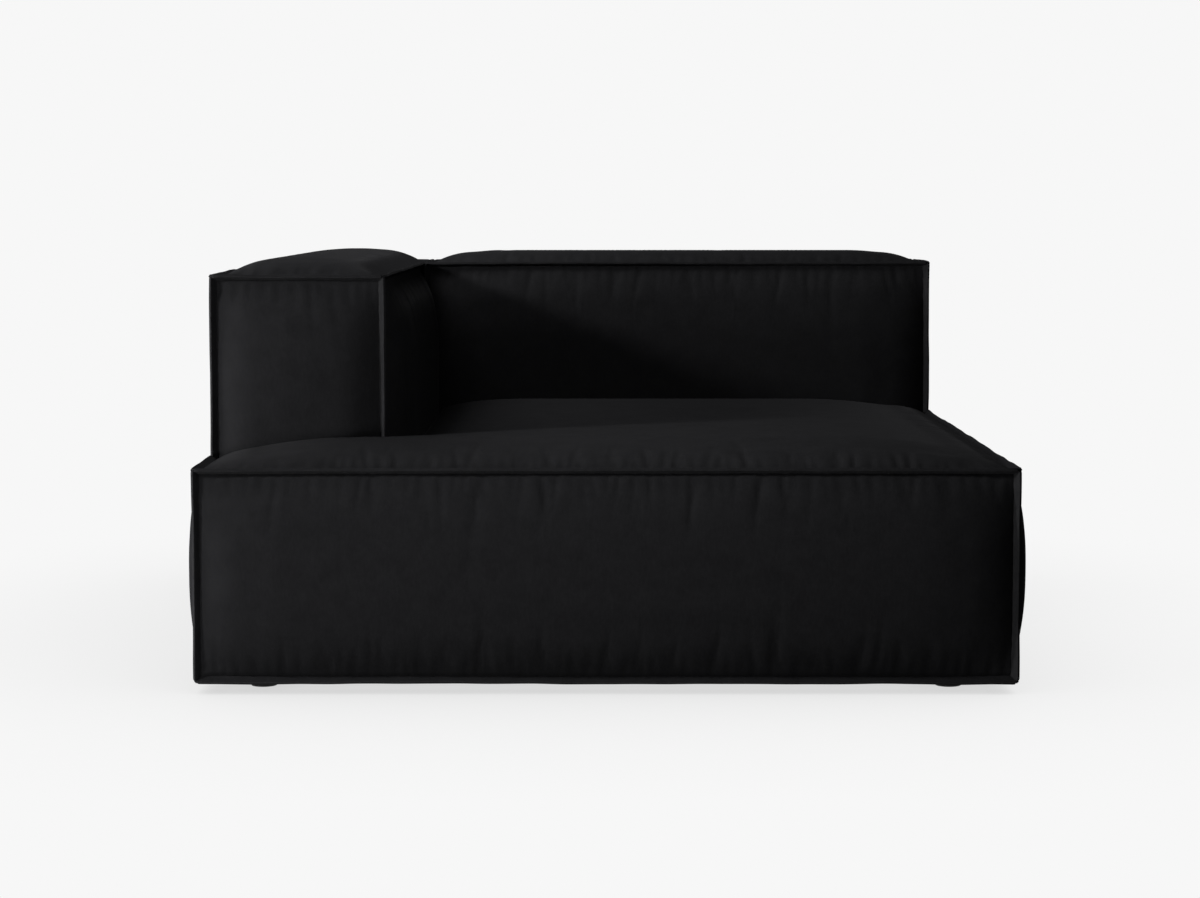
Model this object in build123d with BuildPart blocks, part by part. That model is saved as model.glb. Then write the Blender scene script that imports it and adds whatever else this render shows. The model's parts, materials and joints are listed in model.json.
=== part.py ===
from build123d import *
import math
import os

os.makedirs("parts", exist_ok=True)

# Overall sizes, taken between the seams, in millimetres
WIDTH = 1324
DEPTH = 1570
BASE_SEAM = 32
SEAT_SEAM = 361
TOP_SEAM = 670
ARM_THICK = 272
BACK_THICK = 272
ARM_SETBACK = 238
BACK_GAP = 28
UNIT_GAP = 22

# Padding and cover
PAD = 25
COVER = 2
FRONT_CROWN = 40
SIDE_CROWN = 40
ARM_INNER_CROWN = 42
BACK_FRONT_CROWN = 40
SEAT_CROWN = 48
ARM_CROWN = 38
BACK_CROWN = 34
BACK_SIDE_CROWN = 18
SHOULDER = 150
SEAT_SHOULDER = 260
SHOULDER_LIMIT = 0.45
SOFT_FIT = 0.5
CORE_ROOM = 3

# Seam flange
FLANGE_REACH = 8.5
FLANGE_THICK = 3

# Timber frames
FRAME_BASE = 36
RAIL_HEIGHT = 180
CROSS_HEIGHT = 160
BOARD = 25
RIB = 18
PANEL = 4
HOUSING = 8
WOOD_FIT = 0.25
BACK_LOWER_HEIGHT = 240
BACK_UPPER_HEIGHT = 100
BOLT_RAIL = 40
BOLT_RAIL_HEIGHT = 60
BOLT_RAIL_BASE = 96
RIB_SLOT = (110, 150)

# Webbing and dust cover
WEB = 2
WEB_WIDTH = 60
WEB_LENGTHWISE = 7
WEB_CROSSWISE = 9
WEB_BACK = 8
DUST = 1

# Feet and fasteners
FOOT_TOP_R = 30
FOOT_TIP_R = 24
FOOT_EDGE = 3
FOOT_BLOCK = 80
FOOT_BLOCK_HEIGHT = 45
FOOT_RAIL_GAP = 41
STUD_R = 4
STUD_LENGTH = 40
BOLT_R = 4
BOLT_HEAD_R = 7.5
BOLT_HEAD = 5.3
BOLT_END = 4
HOLE_FIT = 0.25

# Seam planes of the blocks
LEFT = -WIDTH / 2
RIGHT = WIDTH / 2
FRONT = -DEPTH / 2
REAR = DEPTH / 2
ARM_INNER = LEFT + ARM_THICK
ARM_FRONT = FRONT + ARM_SETBACK
BACK_LEFT = ARM_INNER + BACK_GAP
BACK_FRONT = REAR - BACK_THICK
SEAT_REAR = BACK_FRONT - UNIT_GAP
SEAT_CORNER_REAR = ARM_FRONT - UNIT_GAP
SEAT_NOTCH = ARM_INNER + UNIT_GAP

# Frame planes, one padding depth inside the seams
F_LEFT = LEFT + PAD
F_RIGHT = RIGHT - PAD
F_FRONT = FRONT + PAD
F_REAR = REAR - PAD
F_ARM_INNER = ARM_INNER - PAD
F_ARM_FRONT = ARM_FRONT + PAD
F_BACK_FRONT = BACK_FRONT + PAD
F_TOP = TOP_SEAM - PAD
RAIL_TOP = FRAME_BASE + RAIL_HEIGHT
DECK = RAIL_TOP + 2 * WEB
FOAM_TOP = SEAT_SEAM - PAD
SOFT_BASE = DECK + WEB
ARM_PAD_REAR = BACK_FRONT - UNIT_GAP

# Places of ribs, posts, cross rails, feet and bolts
SPAN_FRONT = F_FRONT + BOARD
SPAN_REAR = F_BACK_FRONT - BOARD
CROSS_Y = [SPAN_FRONT + (SPAN_REAR - SPAN_FRONT) * share for share in (1 / 3, 2 / 3)]
RIB_Y = [F_ARM_FRONT + (F_REAR - F_ARM_FRONT) * share for share in (0.22, 0.58)]
POST_X = [F_ARM_INNER + (F_RIGHT - F_ARM_INNER) * share for share in (1 / 3, 2 / 3)]
FOOT_X = F_RIGHT - BOARD - FOOT_BLOCK / 2
FOOT_FRONT_Y = SPAN_FRONT + FOOT_BLOCK / 2
FOOT_REAR_Y = F_REAR - RIB - FOOT_BLOCK / 2
FOOT_MID_Y = CROSS_Y[1] - BOARD / 2 - FOOT_RAIL_GAP - FOOT_BLOCK / 2
SEAT_FEET = [(-FOOT_X, FOOT_FRONT_Y), (FOOT_X, FOOT_FRONT_Y), (FOOT_X, FOOT_MID_Y)]
ARM_FEET = [(-FOOT_X, FOOT_MID_Y), (-FOOT_X, FOOT_REAR_Y)]
BACK_FEET = [(FOOT_X, FOOT_REAR_Y)]
FEET = SEAT_FEET + ARM_FEET + BACK_FEET
BOLT_Z = BOLT_RAIL_BASE + BOLT_RAIL_HEIGHT / 2
BOLT_HEAD_X = F_ARM_INNER - PANEL - BOLT_RAIL
SEAT_BOLT_Y = [F_ARM_FRONT + (SPAN_REAR - F_ARM_FRONT) * share for share in (0.12, 0.8)]
BACK_BOLT_X = [F_ARM_INNER + (F_RIGHT - F_ARM_INNER) * share for share in (1 / 6, 5 / 6)]
BACK_BOLT_Y = F_BACK_FRONT + 110
BACK_BOLT_Z = [BOLT_Z + 140, BOLT_Z + 400]
ARM_BOLTS = [(y, BOLT_Z) for y in SEAT_BOLT_Y] + [(BACK_BOLT_Y, z) for z in BACK_BOLT_Z]
BACK_BOLTS = [(-x, BOLT_Z) for x in BACK_BOLT_X]


def board(x, y, z):
    """A straight board, given by its span along each axis."""
    with BuildPart() as piece:
        with BuildSketch(Plane.XY.offset(z[0])):
            with Locations(((x[0] + x[1]) / 2, (y[0] + y[1]) / 2)):
                Rectangle(x[1] - x[0], y[1] - y[0])
        extrude(amount=z[1] - z[0])
    return piece.part


def rods(plane, points, radius, start, end):
    """Round rods on a plane, from one height above it to another."""
    with BuildPart() as piece:
        with BuildSketch(plane.offset(start)):
            with Locations(*points):
                Circle(radius)
        extrude(amount=end - start)
    return piece.part


def arched_slab(plane, span, run, crown, shoulder, sewn):
    """A slab that swells up from its sewn ends on arcs that level out."""
    radius = (shoulder**2 + crown**2) / (2 * crown)
    half = crown - radius + math.sqrt(radius**2 - (shoulder / 2) ** 2)
    low, high = span
    with BuildPart() as piece:
        with BuildSketch(plane):
            with BuildLine():
                Line((high, 0), (low, 0))
                if sewn[0]:
                    ThreePointArc((low, 0), (low + shoulder / 2, half), (low + shoulder, crown))
                    low += shoulder
                else:
                    Line((low, 0), (low, crown))
                top = high - shoulder if sewn[1] else high
                Line((low, crown), (top, crown))
                if sewn[1]:
                    ThreePointArc((top, crown), (high - shoulder / 2, half), (high, 0))
                else:
                    Line((high, crown), (high, 0))
            make_face()
        extrude(amount=run)
    return piece.part


def crowned_panel(face, inset=0, depth=PAD, proud=0):
    """A mitred slab with a crowned outer face that is drawn in at its seams."""
    plane = face["plane"].offset(proud - inset)
    sewn = [side in face["seams"] for side in ("start", "end", "low", "high")]
    crown = face["crown"]
    edges = [
        edge + sign * inset * seam
        for edge, sign, seam in zip((*face["u"], *face["v"]), (1, -1, 1, -1), sewn)
    ]
    wide = edges[1] - edges[0]
    tall = edges[3] - edges[2]
    shoulder = min(face["shoulder"], SHOULDER_LIMIT * min(wide, tall))
    corner = plane.from_local_coords((edges[0], 0, 0))
    upright = Plane(corner, x_dir=plane.y_dir, z_dir=plane.x_dir)
    corner = plane.from_local_coords((0, edges[2], 0))
    level = Plane(corner, x_dir=-plane.x_dir, z_dir=plane.y_dir)
    with BuildPart() as piece:
        add(arched_slab(upright, edges[2:], wide, crown, shoulder, sewn[2:]))
        add(
            arched_slab(level, (-edges[1], -edges[0]), tall, crown, shoulder, sewn[1::-1]),
            mode=Mode.INTERSECT,
        )
        for sink in (0, depth - inset):
            u0, u1, v0, v1 = [
                edge + sign * sink * seam for edge, sign, seam in zip(edges, (1, -1, 1, -1), sewn)
            ]
            with BuildSketch(plane.offset(-sink)):
                with Locations(((u0 + u1) / 2, (v0 + v1) / 2)):
                    Rectangle(u1 - u0, v1 - v0)
        loft(ruled=True)
    return piece.part


def cover_skin(face):
    """The cover over one padded face, drawn over the padding's crown."""
    with BuildPart() as piece:
        add(crowned_panel(face, depth=COVER))
        add(crowned_panel(face, inset=COVER), mode=Mode.SUBTRACT)
    return piece.part


def flange_ring(plane, u, v):
    """The sewn flange around a rectangular face, flared out with mitred corners."""
    thick = 2 * FLANGE_THICK * math.sqrt(2)
    flare = 2 * FLANGE_REACH
    size = (u[1] - u[0], v[1] - v[0])
    centre = ((u[0] + u[1]) / 2, (v[0] + v[1]) / 2)
    with BuildPart() as piece:
        for grow, mode in ((thick, Mode.ADD), (0, Mode.SUBTRACT)):
            for level, spread in ((0, 0), (FLANGE_REACH, flare)):
                with BuildSketch(plane.offset(level)):
                    with Locations(centre):
                        Rectangle(size[0] + grow + spread, size[1] + grow + spread)
            loft(ruled=True, mode=mode)
    return piece.part


def flange_strip(plane, corner, side, length):
    """A straight run of flange along one edge, flared out at half a right angle."""
    foot = FLANGE_THICK / math.sqrt(2)
    tip = FLANGE_REACH
    outline = [(0, 0), (foot, 0), (tip + foot, tip), (tip, tip + foot), (0, foot)]
    points = [(corner[0] + side[0] * a, corner[1] + side[1] * b) for a, b in outline]
    with BuildPart() as piece:
        with BuildSketch(plane):
            with BuildLine():
                Polyline(*points, close=True)
            make_face()
        extrude(amount=length)
    return piece.part


def front_plane(y):
    return Plane((0, y, 0), x_dir=(1, 0, 0), z_dir=(0, -1, 0))


def rear_plane(y):
    return Plane((0, y, 0), x_dir=(-1, 0, 0), z_dir=(0, 1, 0))


def right_plane(x):
    return Plane((x, 0, 0), x_dir=(0, 1, 0), z_dir=(1, 0, 0))


def left_plane(x):
    return Plane((x, 0, 0), x_dir=(0, -1, 0), z_dir=(-1, 0, 0))


def upholstered(plane, u, v, crown, seams="start end low high", shoulder=SHOULDER):
    """The outline of one upholstered face on its seam plane."""
    return {"plane": plane, "u": u, "v": v, "crown": crown, "seams": seams, "shoulder": shoulder}


# Upholstered faces
SEAT_Z = (BASE_SEAM, SEAT_SEAM)
TALL_Z = (BASE_SEAM, TOP_SEAM)
ABOVE_DECK_Z = (SOFT_BASE, TOP_SEAM)
ALONG = Plane((0, 0, TOP_SEAM), x_dir=(0, 1, 0), z_dir=(0, 0, 1))
SEAT_TOP = upholstered(
    Plane.XY.offset(SEAT_SEAM), (LEFT, RIGHT), (FRONT, SEAT_REAR), SEAT_CROWN,
    seams="start end low", shoulder=SEAT_SHOULDER,
)
SEAT_FACES = {
    "seat_front": upholstered(front_plane(FRONT), (LEFT, RIGHT), SEAT_Z, FRONT_CROWN),
    "seat_left": upholstered(left_plane(LEFT), (-SEAT_CORNER_REAR, -FRONT), SEAT_Z, SIDE_CROWN),
    "seat_right": upholstered(right_plane(RIGHT), (FRONT, SEAT_REAR), SEAT_Z, SIDE_CROWN),
}
ARM_FACES = {
    "arm_front": upholstered(
        front_plane(ARM_FRONT), (LEFT, ARM_INNER), ABOVE_DECK_Z, FRONT_CROWN, "start end high"
    ),
    "arm_top": upholstered(ALONG, (ARM_FRONT, REAR), (-ARM_INNER, -LEFT), ARM_CROWN),
    "arm_outer": upholstered(left_plane(LEFT), (-REAR, -ARM_FRONT), TALL_Z, SIDE_CROWN),
    "arm_inner": upholstered(
        right_plane(ARM_INNER), (ARM_FRONT, ARM_PAD_REAR), ABOVE_DECK_Z, ARM_INNER_CROWN, "start high"
    ),
    "arm_rear": upholstered(rear_plane(REAR), (-ARM_INNER, -LEFT), TALL_Z, FRONT_CROWN),
}
BACK_FACES = {
    "back_front": upholstered(
        front_plane(BACK_FRONT), (BACK_LEFT, RIGHT), ABOVE_DECK_Z, BACK_FRONT_CROWN, "start end high"
    ),
    "back_top": upholstered(
        Plane.XY.offset(TOP_SEAM), (BACK_LEFT, RIGHT), (BACK_FRONT, REAR), BACK_CROWN
    ),
    "back_right": upholstered(right_plane(RIGHT), (BACK_FRONT, REAR), TALL_Z, BACK_SIDE_CROWN),
    "back_rear": upholstered(rear_plane(REAR), (-RIGHT, -BACK_LEFT), TALL_Z, FRONT_CROWN),
}

pieces = {}

# Seat frame
RAIL_Z = (FRAME_BASE, RAIL_TOP)
CROSS_Z = (FRAME_BASE, FRAME_BASE + CROSS_HEIGHT)
CROSS_X = (F_ARM_INNER + BOARD - HOUSING, F_RIGHT - BOARD + HOUSING)
LEFT_RAIL_X = (F_ARM_INNER, F_ARM_INNER + BOARD)
RIGHT_RAIL_X = (F_RIGHT - BOARD, F_RIGHT)
SIDE_RAIL_X = (F_LEFT, F_LEFT + BOARD)

arm_bolt_holes = rods(
    right_plane(0), ARM_BOLTS, BOLT_R + HOLE_FIT, BOLT_HEAD_X - BOARD, F_ARM_INNER + BOARD
)
back_bolt_holes = rods(
    rear_plane(0), BACK_BOLTS, BOLT_R + HOLE_FIT, SPAN_REAR - BOARD, F_BACK_FRONT + BOARD
)


def housing(y):
    """The housings that take the ends of a cross rail."""
    half = BOARD / 2 + WOOD_FIT
    return board(
        (CROSS_X[0] - WOOD_FIT, CROSS_X[1] + WOOD_FIT),
        (y - half, y + half),
        (FRAME_BASE, CROSS_Z[1] + WOOD_FIT),
    )


with BuildPart() as seat_front_rail:
    add(board((F_LEFT, F_RIGHT), (F_FRONT, SPAN_FRONT), RAIL_Z))
pieces["seat_front_rail"] = seat_front_rail.part

with BuildPart() as seat_right_rail:
    add(board(RIGHT_RAIL_X, (SPAN_FRONT, SPAN_REAR), RAIL_Z))
    for cross_y in CROSS_Y:
        add(housing(cross_y), mode=Mode.SUBTRACT)
pieces["seat_right_rail"] = seat_right_rail.part

with BuildPart() as seat_left_rail:
    add(board(LEFT_RAIL_X, (F_ARM_FRONT, SPAN_REAR), RAIL_Z))
    for cross_y in CROSS_Y:
        add(housing(cross_y), mode=Mode.SUBTRACT)
    add(arm_bolt_holes, mode=Mode.SUBTRACT)
pieces["seat_left_rail"] = seat_left_rail.part

with BuildPart() as seat_rear_rail:
    add(board((F_ARM_INNER, F_RIGHT), (SPAN_REAR, F_BACK_FRONT), RAIL_Z))
    add(back_bolt_holes, mode=Mode.SUBTRACT)
pieces["seat_rear_rail"] = seat_rear_rail.part

with BuildPart() as seat_corner_side_rail:
    add(board(SIDE_RAIL_X, (SPAN_FRONT, F_ARM_FRONT - BOARD), RAIL_Z))
pieces["seat_corner_side_rail"] = seat_corner_side_rail.part

with BuildPart() as seat_corner_rear_rail:
    add(board((F_LEFT, LEFT_RAIL_X[1]), (F_ARM_FRONT - BOARD, F_ARM_FRONT), RAIL_Z))
pieces["seat_corner_rear_rail"] = seat_corner_rear_rail.part

with BuildPart() as seat_nose_rail:
    add(board(LEFT_RAIL_X, (SPAN_FRONT, F_ARM_FRONT - BOARD), RAIL_Z))
pieces["seat_nose_rail"] = seat_nose_rail.part

for place, cross_y in zip(("front", "rear"), CROSS_Y):
    with BuildPart() as seat_cross_rail:
        add(board(CROSS_X, (cross_y - BOARD / 2, cross_y + BOARD / 2), CROSS_Z))
    pieces[f"seat_cross_rail_{place}"] = seat_cross_rail.part

# Seat deck board, webbing and foam
DECK_EDGE = sum(LEFT_RAIL_X) / 2

with BuildPart() as seat_corner_deck:
    add(board((F_LEFT, DECK_EDGE), (F_FRONT, F_ARM_FRONT), (RAIL_TOP, DECK)))
pieces["seat_corner_deck"] = seat_corner_deck.part


def spread(start, end, count):
    """Evenly spread centres of straps between two edges."""
    pitch = (end - start) / count
    return [start + pitch * (number + 0.5) for number in range(count)]


with BuildPart() as seat_webbing_lengthwise:
    with BuildSketch(Plane.XY.offset(RAIL_TOP)):
        with Locations(*[
            (x, (F_FRONT + F_BACK_FRONT) / 2)
            for x in spread(LEFT_RAIL_X[1], RIGHT_RAIL_X[0], WEB_LENGTHWISE)
        ]):
            Rectangle(WEB_WIDTH, F_BACK_FRONT - F_FRONT)
    extrude(amount=WEB)
pieces["seat_webbing_lengthwise"] = seat_webbing_lengthwise.part

with BuildPart() as seat_webbing_crosswise:
    with BuildSketch(Plane.XY.offset(RAIL_TOP + WEB)):
        with Locations(*[
            ((DECK_EDGE + 1 + F_RIGHT) / 2, y) for y in spread(SPAN_FRONT, SPAN_REAR, WEB_CROSSWISE)
        ]):
            Rectangle(F_RIGHT - DECK_EDGE - 1, WEB_WIDTH)
    extrude(amount=WEB)
pieces["seat_webbing_crosswise"] = seat_webbing_crosswise.part

CORE_REAR = BACK_FRONT - BACK_FRONT_CROWN - CORE_ROOM
CORE_CORNER = ARM_FRONT - FRONT_CROWN - CORE_ROOM
CORE_NOTCH = ARM_INNER + ARM_INNER_CROWN + CORE_ROOM

with BuildPart() as seat_foam_core:
    with BuildSketch(Plane.XY.offset(DECK)):
        with BuildLine():
            Polyline(
                (F_LEFT, F_FRONT),
                (F_RIGHT, F_FRONT),
                (F_RIGHT, CORE_REAR),
                (CORE_NOTCH, CORE_REAR),
                (CORE_NOTCH, CORE_CORNER),
                (F_LEFT, CORE_CORNER),
                close=True,
            )
        make_face()
    extrude(amount=FOAM_TOP - DECK)
pieces["seat_foam_core"] = seat_foam_core.part


# Seat padding and cover
def seat_clearance():
    """The room that the arm and back take out of the seat's top."""
    top = SEAT_SEAM + 2 * SEAT_CROWN
    with BuildPart() as piece:
        add(board((LEFT - PAD, SEAT_NOTCH), (SEAT_CORNER_REAR, REAR), (FOAM_TOP - PAD, top)))
        for face in (ARM_FACES["arm_front"], ARM_FACES["arm_inner"], BACK_FACES["back_front"]):
            add(crowned_panel(face, proud=SOFT_FIT))
    return piece.part


clearance = seat_clearance()

with BuildPart() as seat_top_padding:
    add(crowned_panel(SEAT_TOP, inset=COVER))
    add(clearance, mode=Mode.SUBTRACT)
pieces["seat_top_padding"] = seat_top_padding.part

with BuildPart() as seat_top_cover:
    add(cover_skin(SEAT_TOP))
    add(clearance, mode=Mode.SUBTRACT)

seat_skins = [seat_top_cover.part]
for name, face in SEAT_FACES.items():
    with BuildPart() as seat_padding:
        add(crowned_panel(face, inset=COVER))
    pieces[f"{name}_padding"] = seat_padding.part
    seat_skins.append(cover_skin(face))
pieces["seat_cover"] = Compound(children=seat_skins)

# Seat seam flange
EDGE_XZ = rear_plane(FRONT)
seat_flange = [
    flange_ring(front_plane(FRONT), (LEFT, RIGHT), SEAT_Z),
    flange_strip(EDGE_XZ, (-RIGHT, SEAT_SEAM), (-1, 1), SEAT_REAR - FRONT),
    flange_strip(EDGE_XZ, (-RIGHT, BASE_SEAM), (-1, -1), SEAT_REAR - FRONT),
    flange_strip(EDGE_XZ, (-LEFT, SEAT_SEAM), (1, 1), SEAT_CORNER_REAR - FRONT),
    flange_strip(EDGE_XZ, (-LEFT, BASE_SEAM), (1, -1), SEAT_CORNER_REAR - FRONT),
    flange_strip(Plane.XY.offset(BASE_SEAM), (RIGHT, SEAT_REAR), (1, 1), SEAT_SEAM - BASE_SEAM),
    flange_strip(Plane.XY.offset(BASE_SEAM), (LEFT, SEAT_CORNER_REAR), (-1, 1), SEAT_SEAM - BASE_SEAM),
]
pieces["seat_seam_flange"] = Compound(children=seat_flange)

# Arm frame
ARM_X = (F_LEFT + PANEL, F_ARM_INNER - PANEL)
ARM_Y = (F_ARM_FRONT, F_REAR)
ARM_BOARD_Z = (FRAME_BASE + RIB, F_TOP - RIB)
BOLT_RAIL_X = (BOLT_HEAD_X, BOLT_HEAD_X + BOLT_RAIL)
BOLT_RAIL_Z = (BOLT_RAIL_BASE, BOLT_RAIL_BASE + BOLT_RAIL_HEIGHT)
BOLT_POST_Y = (BACK_BOLT_Y - BOLT_RAIL_HEIGHT / 2, BACK_BOLT_Y + BOLT_RAIL_HEIGHT / 2)

STUD_TOP = FRAME_BASE + STUD_LENGTH
foot_holes = rods(Plane.XY, FEET, STUD_R + HOLE_FIT, 0, STUD_TOP + HOLE_FIT)

for name, span in {"outer": (F_LEFT, ARM_X[0]), "inner": (ARM_X[1], F_ARM_INNER)}.items():
    with BuildPart() as arm_panel:
        add(board(span, ARM_Y, (FRAME_BASE, F_TOP)))
        add(arm_bolt_holes, mode=Mode.SUBTRACT)
    pieces[f"arm_{name}_panel"] = arm_panel.part

with BuildPart() as arm_base_board:
    add(board(ARM_X, ARM_Y, (FRAME_BASE, ARM_BOARD_Z[0])))
    add(foot_holes, mode=Mode.SUBTRACT)
pieces["arm_base_board"] = arm_base_board.part

with BuildPart() as arm_top_board:
    add(board(ARM_X, ARM_Y, (ARM_BOARD_Z[1], F_TOP)))
pieces["arm_top_board"] = arm_top_board.part

for name, span in {
    "front": (ARM_Y[0], ARM_Y[0] + RIB),
    "rear": (ARM_Y[1] - RIB, ARM_Y[1]),
}.items():
    with BuildPart() as arm_board:
        add(board(ARM_X, span, ARM_BOARD_Z))
    pieces[f"arm_{name}_board"] = arm_board.part

with BuildPart() as arm_ribs:
    for rib_y in RIB_Y:
        with BuildSketch(front_plane(rib_y + RIB / 2)):
            with Locations((sum(ARM_X) / 2, sum(ARM_BOARD_Z) / 2)):
                Rectangle(ARM_X[1] - ARM_X[0], ARM_BOARD_Z[1] - ARM_BOARD_Z[0])
                RectangleRounded(*RIB_SLOT, radius=BOARD, mode=Mode.SUBTRACT)
        extrude(amount=RIB)
    add(
        board(
            (BOLT_RAIL_X[0] - WOOD_FIT, F_ARM_INNER),
            ARM_Y,
            (BOLT_RAIL_Z[0] - WOOD_FIT, BOLT_RAIL_Z[1] + WOOD_FIT),
        ),
        mode=Mode.SUBTRACT,
    )
pieces["arm_ribs"] = arm_ribs.part

with BuildPart() as arm_bolt_rail:
    add(board(BOLT_RAIL_X, (ARM_Y[0] + RIB, ARM_Y[1] - RIB), BOLT_RAIL_Z))
    add(arm_bolt_holes, mode=Mode.SUBTRACT)
pieces["arm_bolt_rail"] = arm_bolt_rail.part

with BuildPart() as arm_bolt_post:
    add(board(BOLT_RAIL_X, BOLT_POST_Y, (BOLT_RAIL_Z[1], ARM_BOARD_Z[1])))
    add(arm_bolt_holes, mode=Mode.SUBTRACT)
pieces["arm_bolt_post"] = arm_bolt_post.part

# Arm padding, cover and seam flange
arm_skins = []
for name, face in ARM_FACES.items():
    with BuildPart() as arm_padding:
        add(crowned_panel(face, inset=COVER))
    pieces[f"{name}_padding"] = arm_padding.part
    arm_skins.append(cover_skin(face))
pieces["arm_cover"] = Compound(children=arm_skins)

with BuildPart() as arm_front_flange:
    add(flange_ring(front_plane(ARM_FRONT), (LEFT, ARM_INNER), TALL_Z))
    add(board((LEFT, ARM_INNER + PAD), (ARM_FRONT - PAD, REAR), (0, SOFT_BASE)), mode=Mode.SUBTRACT)

ARM_EDGE = rear_plane(ARM_FRONT)
arm_flange = [
    arm_front_flange.part,
    flange_ring(rear_plane(REAR), (-ARM_INNER, -LEFT), TALL_Z),
    flange_strip(ARM_EDGE, (-LEFT, TOP_SEAM), (1, 1), REAR - ARM_FRONT),
    flange_strip(ARM_EDGE, (-LEFT, BASE_SEAM), (1, -1), REAR - ARM_FRONT),
    flange_strip(ARM_EDGE, (-ARM_INNER, TOP_SEAM), (-1, 1), REAR - ARM_FRONT),
]
pieces["arm_seam_flange"] = Compound(children=arm_flange)

# Back frame
BACK_X = (F_ARM_INNER, F_RIGHT)
RAIL_Y = (F_BACK_FRONT, F_BACK_FRONT + BOARD)
POST_Y = (RAIL_Y[1], F_REAR - PANEL)
POST_Z = (FRAME_BASE, F_TOP - RIB)

with BuildPart() as back_lower_rail:
    add(board(BACK_X, RAIL_Y, (FRAME_BASE, FRAME_BASE + BACK_LOWER_HEIGHT)))
    add(back_bolt_holes, mode=Mode.SUBTRACT)
pieces["back_lower_rail"] = back_lower_rail.part

with BuildPart() as back_upper_rail:
    add(board(BACK_X, RAIL_Y, (F_TOP - BACK_UPPER_HEIGHT, F_TOP)))
pieces["back_upper_rail"] = back_upper_rail.part

with BuildPart() as back_left_post:
    add(board(LEFT_RAIL_X, POST_Y, POST_Z))
    add(arm_bolt_holes, mode=Mode.SUBTRACT)
pieces["back_left_post"] = back_left_post.part

with BuildPart() as back_right_post:
    add(board(RIGHT_RAIL_X, POST_Y, POST_Z))
pieces["back_right_post"] = back_right_post.part

with BuildPart() as back_middle_posts:
    for post_x in POST_X:
        with BuildSketch(right_plane(post_x - BOARD / 2)):
            with Locations((sum(POST_Y) / 2, sum(POST_Z) / 2)):
                Rectangle(POST_Y[1] - POST_Y[0], POST_Z[1] - POST_Z[0])
                RectangleRounded(*RIB_SLOT, radius=BOARD, mode=Mode.SUBTRACT)
        extrude(amount=BOARD)
pieces["back_middle_posts"] = back_middle_posts.part

with BuildPart() as back_top_board:
    add(board(BACK_X, POST_Y, (POST_Z[1], F_TOP)))
pieces["back_top_board"] = back_top_board.part

with BuildPart() as back_rear_panel:
    add(board(BACK_X, (POST_Y[1], F_REAR), (FRAME_BASE, F_TOP)))
pieces["back_rear_panel"] = back_rear_panel.part

with BuildPart() as back_webbing:
    with BuildSketch(front_plane(F_BACK_FRONT)):
        with Locations(*[
            (x, (SOFT_BASE + F_TOP) / 2) for x in spread(BACK_LEFT, F_RIGHT, WEB_BACK)
        ]):
            Rectangle(WEB_WIDTH, F_TOP - SOFT_BASE)
    extrude(amount=WEB)
pieces["back_webbing"] = back_webbing.part

# Back padding, cover and seam flange
back_skins = []
for name, face in BACK_FACES.items():
    with BuildPart() as back_padding:
        add(crowned_panel(face, inset=COVER, depth=PAD - WEB * (name == "back_front")))
    pieces[f"{name}_padding"] = back_padding.part
    back_skins.append(cover_skin(face))
pieces["back_cover"] = Compound(children=back_skins)

with BuildPart() as back_front_flange:
    add(flange_ring(front_plane(BACK_FRONT), (BACK_LEFT, RIGHT), TALL_Z))
    add(board((BACK_LEFT - PAD, RIGHT), (BACK_FRONT - PAD, REAR), (0, SOFT_BASE)), mode=Mode.SUBTRACT)

BACK_EDGE = rear_plane(BACK_FRONT)
back_flange = [
    back_front_flange.part,
    flange_ring(rear_plane(REAR), (-RIGHT, -BACK_LEFT), TALL_Z),
    flange_strip(BACK_EDGE, (-RIGHT, TOP_SEAM), (-1, 1), REAR - BACK_FRONT),
    flange_strip(BACK_EDGE, (-RIGHT, BASE_SEAM), (-1, -1), REAR - BACK_FRONT),
    flange_strip(BACK_EDGE, (-BACK_LEFT, TOP_SEAM), (1, 1), REAR - BACK_FRONT),
]
pieces["back_seam_flange"] = Compound(children=back_flange)

# Dust covers, slit where the studs of the feet pass
DUST_Z = (FRAME_BASE - DUST, FRAME_BASE)

with BuildPart() as stud_slits:
    with BuildSketch(Plane.XY.offset(DUST_Z[0])):
        with Locations(*FEET):
            Rectangle(2 * (STUD_R + HOLE_FIT), 2 * (STUD_R + HOLE_FIT))
    extrude(amount=DUST)

with BuildPart() as seat_dust_cover:
    with BuildSketch(Plane.XY.offset(DUST_Z[0])):
        with BuildLine():
            Polyline(
                (F_LEFT, F_FRONT),
                (F_RIGHT, F_FRONT),
                (F_RIGHT, F_BACK_FRONT),
                (F_ARM_INNER, F_BACK_FRONT),
                (F_ARM_INNER, F_ARM_FRONT),
                (F_LEFT, F_ARM_FRONT),
                close=True,
            )
        make_face()
    extrude(amount=DUST)
    add(stud_slits.part, mode=Mode.SUBTRACT)
pieces["seat_dust_cover"] = seat_dust_cover.part

for name, span_x, span_y in (
    ("arm", (F_LEFT, F_ARM_INNER), ARM_Y),
    ("back", BACK_X, (F_BACK_FRONT, F_REAR)),
):
    with BuildPart() as dust_cover:
        add(board(span_x, span_y, DUST_Z))
        add(stud_slits.part, mode=Mode.SUBTRACT)
    pieces[f"{name}_dust_cover"] = dust_cover.part

# Feet and foot blocks
with BuildPart() as foot_blocks:
    for points, level in (
        (SEAT_FEET + BACK_FEET, FRAME_BASE),
        (ARM_FEET, FRAME_BASE + RIB),
    ):
        with BuildSketch(Plane.XY.offset(level)):
            with Locations(*points):
                Rectangle(FOOT_BLOCK, FOOT_BLOCK)
        extrude(amount=FOOT_BLOCK_HEIGHT)
    add(foot_holes, mode=Mode.SUBTRACT)
pieces["foot_blocks"] = foot_blocks.part


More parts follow.
